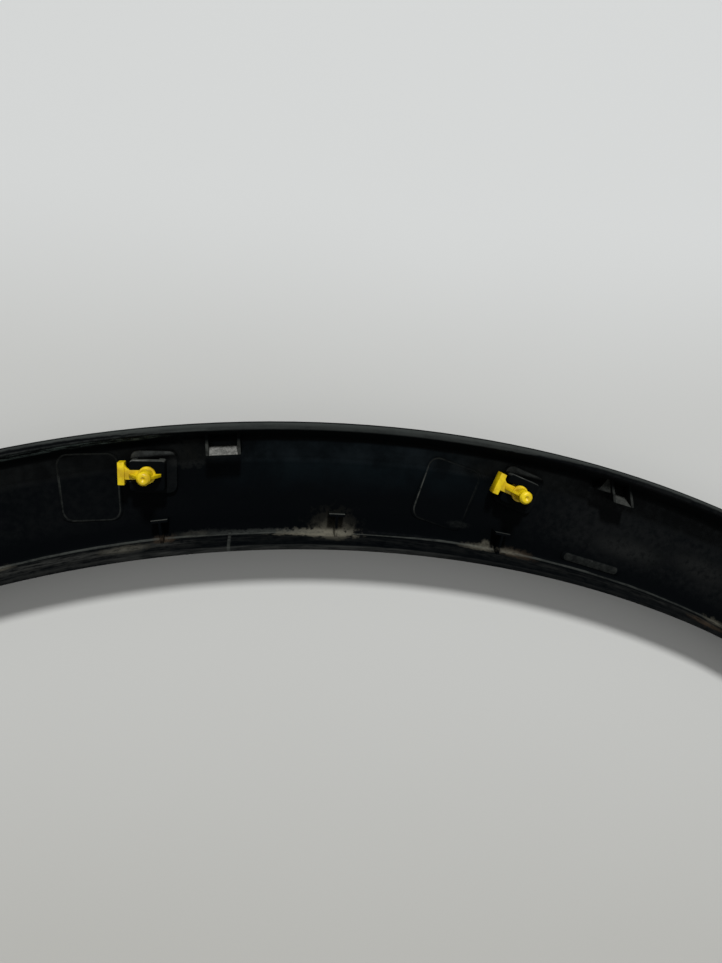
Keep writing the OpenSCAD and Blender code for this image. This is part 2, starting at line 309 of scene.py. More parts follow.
def buildChannel():
    outer, inner = channelOutline()
    bm = bmesh.new()
    ring = closedLine(bm, [(0, crownTop - u, height) for u, height in outer + inner])
    endAngle = channel["endWall"] / arch["shoulderRadius"]
    turns = [
        (0, crownY, crownAngle, channel["crownSteps"]),
        (shoulderX, shoulderY, shoulderAngle - endAngle, channel["shoulderSteps"]),
        (shoulderX, shoulderY, endAngle, 1),
    ]
    for x, y, angle, steps in turns:
        before = ring
        ring = bmesh.ops.spin(bm, geom=ring, cent=(x, y, 0), axis=(0, 0, 1), angle=-angle,
                              steps=steps)["geom_last"]
        ring = [g for g in ring if isinstance(g, bmesh.types.BMEdge)]

    # the wall that closes the end: in the last step flat faces take the hollow's place
    def hollowEdges(edges):
        centre = Vector((shoulderX, shoulderY))
        found = []
        for e in edges:
            places = [Vector((arch["shoulderRadius"] - (v.co.xy - centre).length, v.co.z))
                      for v in e.verts]
            gaps = [min((place - point).length for point in inner) for place in places]
            if max(gaps) < channel["near"]:
                found.append(e)
        return found

    def lineEnds(edges):
        verts = {v for e in edges for v in e.verts}
        ends = [v for v in verts if sum(e in edges for e in v.link_edges) == 1]
        return verts, ends

    nearEdges, farEdges = hollowEdges(before), hollowEdges(ring)
    farVerts, farEnds = lineEnds(farEdges)
    nearEnds = lineEnds(nearEdges)[1]
    lost = [f for f in bm.faces if sum(e in farEdges for e in f.edges) == 1]
    bmesh.ops.delete(bm, geom=lost, context="FACES_ONLY")
    bmesh.ops.delete(bm, geom=[v for v in farVerts if v not in farEnds], context="VERTS")
    nearLine, farLine = bm.edges.new(nearEnds), bm.edges.new(farEnds)
    endRing = [e for e in ring if e.is_valid and e.is_boundary]
    for edges in (nearEdges + [nearLine], [nearLine, farLine], endRing + [farLine]):
        bmesh.ops.contextual_create(bm, geom=edges)
    bmesh.ops.mirror(bm, geom=bm.verts[:] + bm.edges[:] + bm.faces[:], merge_dist=0.001, axis="X")
    bmesh.ops.recalc_face_normals(bm, faces=bm.faces[:])
    return bm


channelMesh = buildChannel()
print("the channel is swept,", len(channelMesh.faces), "faces,", openEdges(channelMesh),
      "open edges")

# What stands on the back: first the slotted towers that the clips slide into
tower = {
    "baseLength": 19.5,
    "baseWidth": 18.5,
    "baseHeight": 1.2,
    "baseShift": 1.8,
    "baseOut": 0.5,
    "baseRound": 4,
    "length": 14.4,
    "width": 13,
    "height": 11,
    "cornerRound": 1.5,
    "wall": 1.6,
    "plate": 2,
    "slot": 5.1,
    "windowLength": 9,
    "windowHeight": 3,
    "edgeRound": 0.5,
}


def buildTower():
    floor = channel["bow"] + channel["wall"] + tower["baseHeight"]
    halfL, halfW, wall = tower["length"] / 2, tower["width"] / 2, tower["wall"]
    top, under = tower["height"], tower["height"] - tower["plate"]
    halfSlot, halfWindow = tower["slot"] / 2, tower["windowLength"] / 2
    base = prism(roundedRectangle(tower["baseLength"], tower["baseWidth"], tower["baseRound"]),
                 sunk, floor, tower["edgeRound"], 3)
    bmesh.ops.translate(base, vec=(tower["baseShift"], tower["baseOut"], 0), verts=base.verts[:])
    box = prism(roundedRectangle(tower["length"], tower["width"], tower["cornerRound"], 4),
                sunk, top, tower["edgeRound"], 3)
    inside = prism(rectangle(-halfL - past, wall - halfW, halfL - wall, halfW - wall),
                   floor, under)
    slot = prism(arcPoints(0, 0, halfSlot, -90, 90, 12)
                 + [(-halfL - past, halfSlot), (-halfL - past, -halfSlot)],
                 under - past, top + past)
    window = prism(rectangle(-halfWindow, 0, halfWindow, halfW + past),
                   floor, floor + tower["windowHeight"])
    body = combine(base, box)
    for cutter in (inside, slot, window):
        body = combine(body, cutter, "DIFFERENCE")
    return body


# Hooks at the rim: two leaves that carry a sloping tongue, and a brace beside the slanted ones
hook = {
    "lengthLeft": 14.5,
    "lengthRight": 10.4,
    "stepLeft": 33.2,
    "stepRight": 42.6,
    "slantRight": 27,
    "reach": 14.2,
    "height": 12.6,
    "wall": 1.4,
    "rootU": 3.7,
    "rootHigh": 11.6,
    "rootLow": 8,
    "tongueWidth": 3.3,
    "tongueFall": 4.5,
    "tongueInset": 0.2,
    "braceLength": 6.5,
    "braceDrop": 1.6,
    "braceRound": 0.4,
    "edgeRound": 0.25,
    "hair": 0.01,  # keeps the tongue's sides out of the leaves' planes
}


def buildHook(length, slant):
    root, reach, height, wall = hook["rootU"], hook["reach"], hook["height"], hook["wall"]
    hair, inset, edge = hook["hair"], hook["tongueInset"], hook["edgeRound"]
    back, tongueLow = reach - hook["tongueWidth"], height - hook["tongueFall"]
    leaf = [(root, hook["rootHigh"]), (root, hook["rootLow"]), (reach, sunk), (reach, height),
            (back, height)]
    tongue = [(back - hair, tongueLow), (back - hair, tongueLow - wall),
              (reach - hair, height - wall), (reach - hair, height - hair)]
    body = combine(push(leaf, -length / 2, wall, edge),
                   push(tongue, inset - length / 2, length - 2 * inset, edge))
    body = combine(body, push(leaf, length / 2 - wall, wall, edge))
    if slant:
        near = -length / 2
        brace = [(near, -root), (near + wall / 2, -root), (near + wall / 2, -back),
                 (near - hook["braceLength"], -back)]
        body = combine(body, prism(brace, sunk, height - hook["braceDrop"], hook["braceRound"]))
        lean = Matrix(((1, -math.tan(radians(slant)), 0, 0), (0, 1, 0, 0), (0, 0, 1, 0),
                       (0, 0, 0, 1)))
        bmesh.ops.transform(body, matrix=lean, verts=body.verts[:])
    return body


# T ribs and ticks at the flange
rib = {
    "low": 2.2,
    "into": 0.3,
    "wall": 1.2,
    "height": 9,
    "barU": 41.3,
    "barLength": 7,
    "stepInwards": 1.8,
    "edgeRound": 0.2,
    "tickOut": 0.8,
    "tickDrop": 0.7,
    "tickRound": 0.15,
}
flangeSlope = math.tan(radians(channel["flangeLean"]))
creaseZ = channel["bow"] + channel["wall"]
creaseU = (arch["bandWidth"] - channel["flangeWall"]
           - (channel["flangeHeight"] - channel["bow"] - channel["wall"]) * flangeSlope)


def flangeInnerU(height):
    return creaseU + (height - creaseZ) * flangeSlope


def buildRib():
    half, bar, halfBar = rib["wall"] / 2, rib["barU"], rib["barLength"] / 2
    foot = flangeInnerU(rib["height"]) + rib["into"]
    outline = [(-halfBar, half - bar), (-halfBar, -half - bar), (-half, -half - bar),
               (-half, -foot), (half, -foot), (half, -half - bar), (halfBar, -half - bar),
               (halfBar, half - bar)]
    return prism(outline, rib["low"], rib["height"], rib["edgeRound"])


def buildTick():
    low, top = rib["low"], channel["flangeHeight"] - rib["tickDrop"]
    out, into = rib["tickOut"], rib["into"]
    outline = [(flangeInnerU(low) - out, low), (flangeInnerU(low) + into, low),
               (flangeInnerU(top) + into, top), (flangeInnerU(top) - out, top)]
    return push(outline, -rib["wall"] / 2, rib["wall"], rib["tickRound"])


# Two areas outlined by a raised line, and a bar pad
pad = {
    "length": 26,
    "width": 29.5,
    "round": 5,
    "line": 0.8,
    "lift": 0.5,
    "leftS": clipS(4) - 27,
    "leftU": 23.8,
    "rightS": clipS(5) - 32,
    "rightU": 28.5,
    "barS": 134.5,
    "barU": 45.6,
    "barLength": 31,
    "barWidth": 4,
    "barRound": 1.9,
    "edgeRound": 0.2,
}


def buildPad():
    top = bowAt(arch["clipU"]) + channel["wall"] + pad["lift"]
    length, width, line = pad["length"], pad["width"], pad["line"]
    ring = prism(roundedRectangle(length, width, pad["round"]), sunk, top, pad["edgeRound"])
    hole = prism(roundedRectangle(length - 2 * line, width - 2 * line, pad["round"] - line),
                 sunk - past, top + past)
    return combine(ring, hole, "DIFFERENCE")


def buildBarPad():
    top = bowAt(pad["barU"]) + channel["wall"] + pad["lift"]
    return prism(roundedRectangle(pad["barLength"], pad["barWidth"], pad["barRound"]),
                 sunk, top, pad["edgeRound"])


def buildFittings():
    fittings = bmesh.new()
    towerMesh, ribMesh, tickMesh, padMesh = buildTower(), buildRib(), buildTick(), buildPad()
    leftHook = buildHook(hook["lengthLeft"], 0)
    rightHook = buildHook(hook["lengthRight"], hook["slantRight"])
    for number in range(1, arch["clipCount"] + 1):
        s = clipS(number)
        addCopy(fittings, towerMesh, seat(s, arch["clipU"], turnAt(s)))
        addCopy(fittings, ribMesh, seat(s - sideOf(s) * rib["stepInwards"]))
        if s < 0:
            addCopy(fittings, leftHook, seat(s + hook["stepLeft"]))
            addCopy(fittings, tickMesh, seat(s + hook["stepLeft"]))
        elif number < arch["clipCount"]:
            addCopy(fittings, rightHook, seat(s + hook["stepRight"]))
    addCopy(fittings, ribMesh, seat(0))
    for side in ("left", "right"):
        s = pad[side + "S"]
        addCopy(fittings, padMesh, seat(s, pad[side + "U"], turnAt(s)))
    addCopy(fittings, buildBarPad(), seat(pad["barS"], pad["barU"]))
    return fittings


fittings = buildFittings()
print("the fittings are made,", len(fittings.faces), "faces")

mouldingMesh = combine(channelMesh, fittings)
bmesh.ops.remove_doubles(mouldingMesh, verts=mouldingMesh.verts[:], dist=mergeWithin)
bmesh.ops.triangulate(mouldingMesh, faces=[f for f in mouldingMesh.faces if len(f.verts) > 4])

# s and u go into the UV map, where the material reads the dust, the wear and the painted light and
# shade
archMap = mouldingMesh.loops.layers.uv.new("archMap")
for face in mouldingMesh.faces:
    for loop in face.loops:
        loop[archMap].uv = measure(loop.vert.co.x, loop.vert.co.y)
print("the moulding is joined,", len(mouldingMesh.faces), "faces,", openEdges(mouldingMesh),
      "open edges")
moulding = toObject("fender_moulding", mouldingMesh, mm)
shadeSmooth(moulding, channel["sharpAngle"])

# The push-in clips, drawn with the top of a tower at height 0
clip = {
    "neckWidth": 4,
    "gap": 0.3,
    "slack": 0.4,  # how far a clip sits to one side of its slot
    "footWidth": 8.6,
    "footHeight": 1.4,
    "discWidth": 7.3,
    "discHeight": 1.2,
    "studWidth": 5.7,
    "studHeight": 10,
    "tipHeight": 1.2,
    "tipWidth": 4.2,
    "tipOverlap": 0.001,
    "tipRound": 0.35,
    "dimpleWidth": 2.2,
    "dimpleFloor": 0.2,
    "dimpleDepth": 0.7,
    "dimplePast": 0.01,
    "barX": 9,
    "barWall": 2.8,
    "barOut": 5.3,
    "barIn": 4.3,
    "barLow": 6.5,
    "barRise": 0.8,
    "webRound": 2.6,
    "wingWall": 1.2,
    "wingHeight": 7,
    "wingBack": 7.2,
    "wingFront": 5.8,
    "wingTip": 1.6,
    "wingRound": 0.2,
    "edgeRound": 0.3,
    "sides": 40,
    "overlap": 0.1,
    "sharpAngle": 35,
}


# Closed round solid, which widens or narrows towards its top
def disc(width, low, high, topWidth=None, soft=0):
    bm = bmesh.new()
    bmesh.ops.create_cone(bm, cap_ends=True, segments=clip["sides"], radius1=width / 2,
                          radius2=(topWidth or width) / 2, depth=high - low)
    bmesh.ops.translate(bm, vec=(0, 0, (high + low) / 2), verts=bm.verts[:])
    if soft:
        roundEdges(bm, edgesAt(bm, high), soft)
    return bm


def buildClip():
    neck, stud, gap = clip["neckWidth"] / 2, clip["studWidth"] / 2, clip["gap"]
    barX, web, edge, overlap = clip["barX"], clip["webRound"], clip["edgeRound"], clip["overlap"]
    footTop = -tower["plate"] - gap
    footLow = footTop - clip["footHeight"]
    studTop, shoulder = clip["studHeight"], clip["studHeight"] - clip["tipHeight"]
    handle = [(-barX - overlap, -neck), (0, -neck), (0, neck)]
    handle += arcPoints(web - barX, neck + web, web, 270, 180, 6)
    handle += [(-barX - overlap, neck + web)]
    bar = prism(rectangle(-barX - clip["barWall"], -clip["barIn"], -barX, clip["barOut"]),
                clip["barLow"] - tower["height"], clip["barRise"])
    roundEdges(bar, bar.edges[:], edge)
    wing = prism([(-clip["wingBack"], 0), (-clip["wingBack"], clip["wingTip"] / 2),
                  (-stud, clip["wingHeight"]), (stud, clip["wingHeight"]),
                  (clip["wingFront"], clip["wingTip"]), (clip["wingFront"], gap), (0, gap), (0, 0)],
                 -clip["wingWall"] / 2, clip["wingWall"] / 2, clip["wingRound"])
    upright = Matrix.Rotation(radians(90), 3, "X")
    bmesh.ops.rotate(wing, matrix=upright, verts=wing.verts[:])
    parts = [
        bar,
        disc(clip["footWidth"], footLow, footTop),
        disc(clip["neckWidth"], footLow + overlap, overlap),
        disc(clip["discWidth"], 0, clip["discHeight"], soft=clip["tipRound"]),
        disc(clip["studWidth"], 2 * overlap, shoulder),
        disc(clip["studWidth"], shoulder - clip["tipOverlap"], studTop, clip["tipWidth"],
             clip["tipRound"]),
        wing,
    ]
    body = prism(handle, gap - tower["plate"], 0, edge)
    for part in parts:
        body = combine(body, part)
    dimple = disc(clip["dimpleFloor"], studTop - clip["dimpleDepth"], studTop + clip["dimplePast"],
                  clip["dimpleWidth"])
    body = combine(body, dimple, "DIFFERENCE")
    bmesh.ops.remove_doubles(body, verts=body.verts[:], dist=mergeWithin)
    return body


clipMesh = buildClip()
clips = []
for number in range(1, arch["clipCount"] + 1):
    s = clipS(number)
    inSlot = Matrix.Translation((0, -sideOf(s) * clip["slack"], tower["height"]))
    oneClip = bmesh.new()
    addCopy(oneClip, clipMesh, seat(s, arch["clipU"], turnAt(s)) @ inSlot)
    piece = toObject("push_in_clip_%d" % number, oneClip, mm)
    shadeSmooth(piece, clip["sharpAngle"])
    clips.append(piece)
print("the clips are made,", len(clips[0].data.polygons), "faces each")


class Wire:  # an output socket that takes part in sums
    def __init__(self, paint, socket):
        self.paint, self.socket = paint, socket

    def __add__(self, other):
        return self.paint.calc("ADD", self, other)

    def __sub__(self, other):
        return self.paint.calc("SUBTRACT", self, other)

    def __rsub__(self, other):
        return self.paint.calc("SUBTRACT", other, self)

    def __mul__(self, other):
        return self.paint.calc("MULTIPLY", self, other)

    def __truediv__(self, other):
        return self.paint.calc("DIVIDE", self, other)

    def __rtruediv__(self, other):
        return self.paint.calc("DIVIDE", other, self)

    __radd__, __rmul__ = __add__, __mul__


class Paint:  # the nodes of a material or of the sky
    def __init__(self, owner, colour=None):
        owner.use_nodes = True
        self.owner, self.tree, self.colour = owner, owner.node_tree, colour
        self.tree.nodes.clear()

    # Any node: its type, its settings, then the values or wires of its sockets
    def node(self, kind, settings={}, inputs={}, output=0):
        node = self.tree.nodes.new("ShaderNode" + kind)
        for key, value in settings.items():
            setattr(node, key, value)
        for key, value in inputs.items():
            if isinstance(value, Wire):
                self.tree.links.new(value.socket, node.inputs[key])
            else:
                node.inputs[key].default_value = value
        return Wire(self, node.outputs[output]) if len(node.outputs) else node

    def outputs(self, wire, keys):
        return [Wire(self, wire.socket.node.outputs[key]) for key in keys]

    def split(self, vector):
        return self.outputs(self.node("SeparateXYZ", {}, {0: vector}), range(3))

    def calc(self, operation, *values):
        return self.node("Math", {"operation": operation}, dict(enumerate(values)))

    def absolute(self, value):
        return self.calc("ABSOLUTE", value)

    def greater(self, a, b):
        return self.calc("MAXIMUM", a, b)

    def far(self, a, b):
        return self.calc("SQRT", a * a + b * b)

    def scaled(self, vector, factor):
        return self.node("VectorMath", {"operation": "MULTIPLY"}, {0: vector, 1: (factor,) * 3})

    # Runs from start to end while the value runs from low to high
    def ramp(self, value, low, high, start=0, end=1):
        return self.node("MapRange", {"interpolation_type": "SMOOTHSTEP"},
                         {0: value, 1: low, 2: high, 3: start, 4: end})

    # Up between the first two values and down between the last two
    def band(self, value, low, upper, lower, high):
        return self.ramp(value, low, upper) * self.ramp(value, lower, high, 1, 0)

    def noise(self, vector, scale, detail, rough):
        return self.node("TexNoise", {}, {"Vector": vector, "Scale": scale, "Detail": detail,
                                          "Roughness": rough})

    def mix(self, factor, under, over):
        under, over = [v if isinstance(v, Wire) else (*v, 1) for v in (under, over)]
        return self.node("Mix", {"data_type": "RGBA"}, {0: factor, 6: under, 7: over}, 2)

    # Lays one more colour over what is there
    def coat(self, factor, tint):
        self.colour = self.mix(factor, self.colour, tint)

    def finish(self, roughness, specular, height=None, strength=1, distance=mm):
        looks = {"Base Color": self.colour, "Roughness": roughness, "Specular IOR Level": specular}
        if height is not None:
            looks["Normal"] = self.node("Bump", {}, {"Strength": strength, "Distance": distance,
                                                     "Height": height})
        self.node("OutputMaterial", {}, {"Surface": self.node("BsdfPrincipled", {}, looks)})
        return self.owner


# Black plastic of the moulding's back, rim and flange, with its dust and wear and its painted light
# and shade
black = {
    "deep": (0.0001, 0.0005, 0.0009),
    "paintedSheen": (0.0030, 0.0060, 0.0076),
    "shadowFill": (0.0190, 0.0270, 0.0320),
    "sideShadowFill": (0.0250, 0.0280, 0.0280),
    "haze": (0.0054, 0.0060, 0.0062),
    "rimWallShade": (0.0006, 0.0010, 0.0010),
    "rimDustAndHighlight": (0.034, 0.038, 0.036),
    "sideDustAndLight": (0.050, 0.053, 0.048),
    "tongueDustAndLight": (0.175, 0.175, 0.165),
    "baseDustAndLight": (0.160, 0.172, 0.165),
    "paleDust": (0.125, 0.118, 0.092),
    "lineDustAndLight": (0.034, 0.037, 0.034),
    "flangeDust": (0.026, 0.027, 0.025),
    "brownDust": (0.050, 0.036, 0.024),
    "scuffs": (0.085, 0.108, 0.100),
    "roughness": (0.52, 0.82),
    "specular": 0.025,
    "grain": 0.12,
    "grainDepth": 0.0004,
    # noises: scale, detail and roughness of each
    "cloud": (0.026, 3, 0.55),
    "fine": (0.33, 5, 0.65),
    "grit": (1.7, 3, 0.7),
    "streak": (0.35, 5, 0.62),
    "blotch": (0.075, 4, 0.6),
    "smallGrain": (1.6, 2, 0.5),
    "broadGrain": (0.12, 3, 0.6),
    "specks": 0.16,
}
# Patches of dust: s and u of the middle, half length, half width, strength, colour
dustPatches = [
    (-9, 51.4, 27, 3.3, 1, "paleDust"),
    (-1, 51.5, 13, 7.5, 0.5, "paleDust"),
    (-1, 47.5, 15, 9.5, 0.10, "paleDust"),
    (-82, 51.5, 7, 3.4, 0.7, "brownDust"),
    (73, 51, 11, 2.6, 0.55, "paleDust"),
    (94, 51, 13, 4.0, 0.5, "brownDust"),
    (89, 50.2, 11, 2.2, 0.4, "paleDust"),
    (-160, 51.5, 10, 2.4, 0.5, "paleDust"),
    (-100, 55.5, 15, 5.0, 0.3, "paleDust"),
    (-67, 49.6, 8, 1.8, 0.14, "paleDust"),
    (215, 51, 9, 3.2, 0.4, "paleDust"),
    (203, 59, 14, 6.0, 0.6, "brownDust"),
    (-64, 49.4, 15, 2.4, 0.25, "lineDustAndLight"),
    (-36, 50.3, 34, 1.9, 0.6, "lineDustAndLight"),
    (77, 48.6, 3.5, 3, 0.6, "paleDust"),
    (-5, 52.3, 14, 2.8, 0.75, "paleDust"),
    (-66, 14, 13, 7, 0.55, "flangeDust"),
    (61, 41.5, 7, 2.0, 0.2, "lineDustAndLight"),
    (68, 15.5, 8, 3.5, 0.3, "flangeDust"),
    (152, 34, 26, 6, 0.2, "flangeDust"),
    (194, 30, 26, 7, 0.18, "flangeDust"),
]


# What the coats are placed by: where a point is, which way it faces, and the noises
def readPlaces(p):
    p.spot = p.scaled(p.node("TexCoord", output="Object"), 1 / mm)
    x, y, p.z = p.split(p.spot)
    nx, ny, p.up = p.split(p.node("TexCoord", output="Normal"))
    p.outwards = (nx * x + ny * (y - crownY)) / p.far(x, y - crownY)
    p.s, p.u = p.split(p.node("UVMap", {"uv_map": "archMap"}))[:2]
    # the way down the flange counts as u, so that dust runs over the crease
    p.spread = p.u + p.greater(p.z - 4.5, 0) * 0.9 * p.ramp(p.u, 46, 49)
    p.onBack = p.ramp(p.z, 4.4, 4.0)
    p.cloud, p.fine, p.grit = [p.noise(p.spot, *black[key]) for key in ("cloud", "fine", "grit")]
    streaks = p.node("CombineXYZ", {}, {0: p.s * 0.22, 1: p.spread * 1.7})
    p.streak = p.noise(streaks, *black["streak"])
    p.mottle = p.ramp(p.fine + p.grit * 0.35, 0.5, 0.85, 0.25, 1)


# A painted cool sheen that stands for a reflection, a strip painted lighter as painted light where
# the rim keeps the lamp off, painted shade on the wall below the rim, and a grey haze to the right
def coatPlastic(p):
    s, u, away = p.s, p.u, p.absolute(p.s)
    below = p.ramp(u, 8.8, 10.4) * p.onBack
    blotch = p.ramp(p.noise(p.spot, *black["blotch"]) + p.cloud * 0.5, 0.55, 0.95, 0.3, 1)
    # painted reflection: a cool sheen painted on the back below the rim
    paintedSheen = below * blotch * p.ramp(u + p.cloud * 14, 42, 25)
    paintedSheen = paintedSheen * p.ramp(s, -75, -8, 0.02, 0.7) * p.ramp(s, 95, 30, 0.1, 1)
    p.coat(paintedSheen, black["paintedSheen"])
    # painted light: the back is painted lighter where the rim's shadow falls on it, to lift that
    # shadow, greyer towards the ends
    shadowFill = below * blotch * p.ramp(u, 20, 15.4) * p.ramp(away, 95, 30, 0.72, 1)
    p.coat(shadowFill, p.mix(p.ramp(away, 30, 85), black["shadowFill"], black["sideShadowFill"]))
    haze = p.ramp(s, 70, 130, 0.12, 1) + p.ramp(s, -60, -120, 0, 0.35)
    haze = haze * p.ramp(u, 47, 36, 0.12, 1)
    p.coat(haze * p.ramp(p.fine + p.cloud * 0.6, 0.55, 1.05, 0.1, 1), black["haze"])
    # painted shade: the wall below the rim is painted near black
    p.coat(p.ramp(u, 10.5, 8.5) * p.ramp(p.z, 15.2, 13, 0, 0.85), black["rimWallShade"])


# The rim's top, dusty over its whole width at the crown, elsewhere only along its outer edge, with
# a painted highlight that lightens that outer edge
def coatRim(p):
    s, u = p.s, p.u
    onTop = p.ramp(p.z - channel["rimHeight"], -1, -0.3)
    wide = p.ramp(s, -115, -45, 1.5, 3.6) - p.ramp(s, 55, 120, 0, 2.1)
    dustAndPaintedLight = p.ramp(u - wide + p.fine * 1.4 - 0.7, 0.3, -0.5) * p.ramp(u, 0.25, 0.8)
    # painted highlight: the rim's outer edge is painted lighter than its middle
    dustAndPaintedLight = dustAndPaintedLight * p.ramp(u, 2.4, 0.9, 0.72, 1.12) * p.ramp(s, -150, -110, 0.6, 1)
    dustAndPaintedLight = dustAndPaintedLight * p.ramp(p.streak + p.fine * 0.6, 0.45, 0.95, 0.55, 1)
    innerLine = p.band(u, 2.3, 2.7, 3.0, 3.5) * p.ramp(s, -40, -70, 0, 0.55) * p.mottle
    p.coat((dustAndPaintedLight + innerLine) * onTop, black["rimDustAndHighlight"])


# A thin line along the crease between back and flange
def coatCrease(p):
    wander = p.streak * 0.8 - 0.4 - p.band(p.s, -90, -50, 20, 60) * 0.6
    line = p.band(p.spread - creaseU + wander, -0.7, -0.35, -0.1, 0.45)
    line = line * p.ramp(p.z, 8, 6) * p.ramp(p.s, 100, 150, 1, 0.6)
    p.coat(line * p.ramp(p.streak + p.fine * 0.8, 0.55, 1.1, 0.2, 1), black["lineDustAndLight"])


# The flange, most dusty to the left and painted darker towards the lip, its lip, and its ticks
# painted pale as painted light
def coatFlange(p):
    s, u, z = p.s, p.u, p.z
    leftwards = p.ramp(s, -55, -100, 0.2, 1.1) + p.ramp(s, 60, 90, 0, 0.1)
    leftwards = leftwards + p.ramp(s, 150, 180, 0, 0.1)
    # painted shade: the dust thins towards the lip, against the lamp's light there
    dustAndPaintedLight = p.ramp(u - creaseU, 0.1, 1) * p.ramp(z, 4, 5.5) * p.ramp(z, 9, 15.5, 1, 0.3)
    dustAndPaintedLight = dustAndPaintedLight * p.ramp(p.streak + p.fine * 0.5, 0.58, 0.92, 0.06, 1)
    p.coat(dustAndPaintedLight * leftwards, black["flangeDust"])
    lip = p.ramp(z - channel["flangeHeight"], -1.4, -0.4) * p.ramp(u, 50, 51)
    lip = lip * (p.band(s, -120, -70, 20, 80) * 0.5 + 0.06)
    p.coat(lip * p.ramp(p.streak, 0.35, 0.6, 0.25, 1), black["flangeDust"])
    # painted light: the ticks are painted pale, as lit ridges
    tickS = clipS(4) + hook["stepLeft"]
    turns = p.calc("FRACT", (s - tickS) / clipPitch + 20.5)  # a half at each tick
    paintedLitTick = p.ramp(p.absolute(turns - 0.5) * clipPitch, 0.9, 0.6) * p.ramp(s, 5, -5)
    paintedLitTick = paintedLitTick * p.ramp(z, 4.2, 5) * p.ramp(u, 47, 48)
    p.coat(paintedLitTick * p.ramp(p.streak, 0.35, 0.6, 0.25, 0.7), black["lineDustAndLight"])


# Dust gathered in patches, but not on the tops of the ribs
def coatPatches(p):
    ribTop = p.ramp(p.z - rib["height"], -0.8, -0.4) * p.ramp(p.up, 0.7, 0.9)
    settled = (1 - ribTop * p.ramp(p.u, 48.6, 46.6)) * p.mottle
    ragged = (p.fine - 0.5) * 2.2 + (p.grit - 0.5) * 0.8
    for middleS, middleU, halfLong, halfWide, strength, tint in dustPatches:
        reach = p.far((p.s - middleS) / halfLong, (p.spread - middleU) / halfWide) + ragged
        p.coat(p.ramp(reach, 1, 0.45, 0, strength) * settled, black[tint])


# Dust and painted light on what faces the rim and the lamp: sides of the towers, bars of the ribs,
# tongues of the hooks
def coatSides(p):
    s, u, z = p.s, p.u, p.z
    # painted light: faces turned outwards, towards the lamp, are painted lighter as well as dusty
    sides = p.band(z, 3.4, 3.9, 13.5, 14.5) * p.band(u, 9.5, 10.5, 45, 46)
    sides = sides * p.ramp(z - p.ramp(u, 36, 38, 0, 4), 3.2, 4) * p.ramp(s, 40, 70, 1, 0.55)
    sides = sides * p.ramp(p.outwards, 0.25, 0.7)
    p.coat(sides * p.ramp(p.fine + p.streak * 0.4, 0.4, 0.8, 0.45, 1), black["sideDustAndLight"])
    # painted light: the tongues' tops, turned up and outwards towards the lamp, are painted bright
    # as well as dusty
    tongue = p.band(z - hook["height"], -5.4, -4.8, 0, 0.3)
    tongue = tongue * p.band(u - hook["reach"], -3.9, -3.3, 0, 0.3) * p.ramp(p.up, 0.3, 0.45)
    tongue = tongue * p.ramp(p.outwards, 0.55, 0.7) * p.ramp(s, 60, 100, 1, 0.05)
    p.coat(tongue * p.ramp(p.fine + p.grit * 0.6, 0.62, 1.02, 0.12, 1), black["tongueDustAndLight"])


# Dust on flat tops: braces, hooks, the bar pad and the towers' bases, whose outer strips are also
# painted lighter as painted light in the rim's shadow
def coatTops(p):
    s, u, z = p.s, p.u, p.z
    facesUp = p.ramp(p.up, 0.8, 0.95)

    def topAt(height, inner, outer):
        return p.band(z - height, -outer, -inner, inner, outer) * facesUp

    brace = topAt(hook["height"] - hook["braceDrop"], 0.1, 0.4) * p.ramp(u, 12.5, 11.5)
    p.coat(brace * p.mottle * 0.4, black["sideDustAndLight"])
    hookTop = topAt(hook["height"], 0.1, 0.5) * p.ramp(u, 6, 7.5)
    p.coat(hookTop * p.mottle * p.ramp(s, 60, 100, 0.7, 0.4), black["sideDustAndLight"])
    beyond = p.absolute(s - pad["barS"]) - (pad["barLength"] - pad["barWidth"]) / 2
    barPad = p.far(p.greater(beyond, 0), u - pad["barU"]) - pad["barWidth"] / 2
    barPad = p.ramp(barPad, 0, -0.4) * p.ramp(z, 5.6, 4.2)
    p.coat(barPad * p.ramp(p.fine, 0.35, 0.7, 0.12, 0.45), black["lineDustAndLight"])
    # painted light: the outer strip of each base is painted lighter where the rim's shadow falls
    base = topAt(creaseZ + tower["baseHeight"], 0.08, 0.2) * p.ramp(s, -10, 10, 1, 0.5)
    base = base * p.ramp(u - arch["clipU"], -6.6, -8.2, 0.02, 1.1)
    p.coat(base * p.ramp(p.fine, 0.3, 0.7, 0.45, 1), black["baseDustAndLight"])


# Scuffs on the wall below the rim, left of the crown
def coatScuffs(p):
    scuff = p.band(p.z, 8, 11, 15.2, 15.8) * p.ramp(p.u, 8, 7) * p.band(p.s, -175, -135, -95, -60)
    p.coat(scuff * p.ramp(p.streak + p.grit * 0.3, 0.60, 0.76), black["scuffs"])


# Where the raised line round a pad is
def padLine(p, middleS, middleU):
    turn = radians(turnAt(middleS))
    a, b = p.s - middleS, middleU - p.u
    across = a * math.cos(turn) - b * math.sin(turn)
    along = a * math.sin(turn) + b * math.cos(turn)
    corner = pad["round"] - pad["line"] / 2
    dx = p.greater(p.absolute(across) - (pad["length"] - pad["line"]) / 2 + corner, 0)
    dy = p.greater(p.absolute(along) - (pad["width"] - pad["line"]) / 2 + corner, 0)
    return p.ramp(p.absolute(p.far(dx, dy) - corner), 0.5, 0.2)


